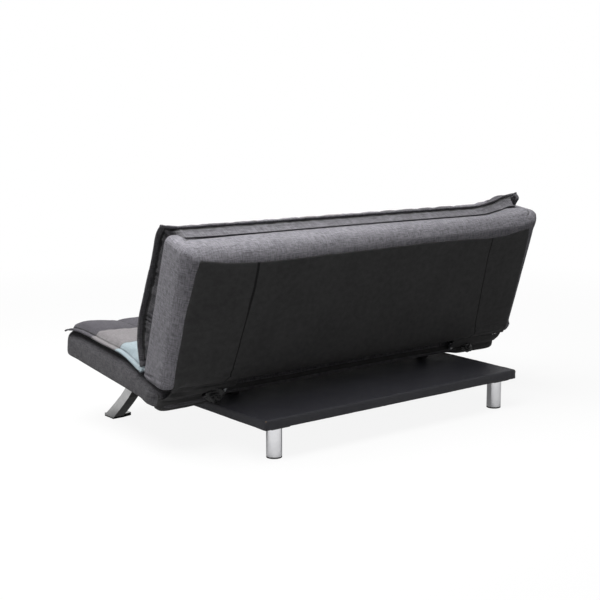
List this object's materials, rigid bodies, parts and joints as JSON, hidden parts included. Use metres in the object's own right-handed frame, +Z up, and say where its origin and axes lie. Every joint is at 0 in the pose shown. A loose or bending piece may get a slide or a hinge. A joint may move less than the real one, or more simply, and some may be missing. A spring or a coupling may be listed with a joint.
{
  "type": "click clack sofa bed",
  "caption": "Click clack sofa bed: padded seat and back with quilted toppers, hinged together on a low plinth; the back folds flat over the plinth to make a bed.",
  "frame": {"origin": "on the floor, under the middle of the sofa's bounding box", "axes": "+X along the length, to the right-hand end seen from the front; -Y to the front, where the sitter's knees are; +Z up"},
  "size_m": [1.96, 1.0622, 0.9283],
  "materials": {
    "plinth_leatherette": "satin",
    "timber": "matte",
    "polished_chrome": "polished",
    "painted_steel": "satin",
    "zinc_steel": "satin",
    "black_plastic": "matte",
    "rubber": "matte",
    "grey_weave": "matte",
    "dark_weave": "matte",
    "black_cloth": "matte"
  },
  "bodies": {
    "base": {"plinth_cover": "plinth_leatherette", "plinth_panel": "timber", "plinth_rail_rear": "timber", "plinth_rail_front": "timber", "plinth_rail_right": "timber", "plinth_rail_left": "timber", "rear_leg_plate_right": "painted_steel", "rear_leg_plate_left": "painted_steel", "rear_leg_tube_right": "polished_chrome", "rear_leg_tube_left": "polished_chrome", "rear_leg_glide_right": "black_plastic", "rear_leg_glide_left": "black_plastic", "front_rail": "painted_steel", "front_rail_cap_right": "black_plastic", "front_rail_cap_left": "black_plastic", "front_leg_right": "polished_chrome", "front_leg_left": "polished_chrome", "front_leg_glide_right": "rubber", "front_leg_glide_left": "rubber", "front_leg_bolt_right": "zinc_steel", "front_leg_bolt_left": "zinc_steel", "seat_pivot_bracket_right": "painted_steel", "seat_pivot_bracket_left": "painted_steel", "seat_pivot_pin_right": "zinc_steel", "seat_pivot_pin_left": "zinc_steel", "seat_stop_right": "rubber", "seat_stop_left": "rubber"},
    "seat": {"seat_pivot_lug_right": "painted_steel", "seat_pivot_lug_left": "painted_steel", "seat_frame_front_tube": "painted_steel", "seat_frame_rear_tube": "painted_steel", "seat_frame_cross_tube_right": "painted_steel", "seat_frame_cross_tube_left": "painted_steel", "seat_slat_1": "timber", "seat_slat_2": "timber", "seat_slat_3": "timber", "seat_slat_4": "timber", "hinge_seat_arm_right": "zinc_steel", "hinge_seat_arm_left": "zinc_steel", "hinge_pawl_right": "zinc_steel", "hinge_pawl_left": "zinc_steel", "hinge_pin_right": "zinc_steel", "hinge_pin_left": "zinc_steel", "seat_pad": "dark_weave", "seat_dust_cover": "black_cloth", "seat_topper": "grey_weave"},
    "back": {"back_frame_lower_tube": "painted_steel", "back_frame_upper_tube": "painted_steel", "back_frame_cross_tube_right": "painted_steel", "back_frame_cross_tube_left": "painted_steel", "back_slat_1": "timber", "back_slat_2": "timber", "back_slat_3": "timber", "hinge_back_arm_right": "zinc_steel", "hinge_back_arm_left": "zinc_steel", "hinge_ratchet_right": "zinc_steel", "hinge_ratchet_left": "zinc_steel", "back_pad": "grey_weave", "back_rear_cover": "black_cloth", "back_topper": "dark_weave"}
  },
  "joints": [
    {"name": "seat_tilt", "type": "hinge", "parent": "base", "child": "seat", "pos_m": [0, -0.1489, 0.2], "axis": [1, 0, 0], "range_deg": [0, 7.2]},
    {"name": "back_fold", "type": "hinge", "parent": "seat", "child": "back", "pos_m": [0, 0.15906, 0.225], "axis": [-1, 0, 0], "range_deg": [0, 80.2]}
  ],
  "couplings": [
    {"joint": "seat_tilt", "follows": "back_fold", "ratio": 0.08977}
  ]
}
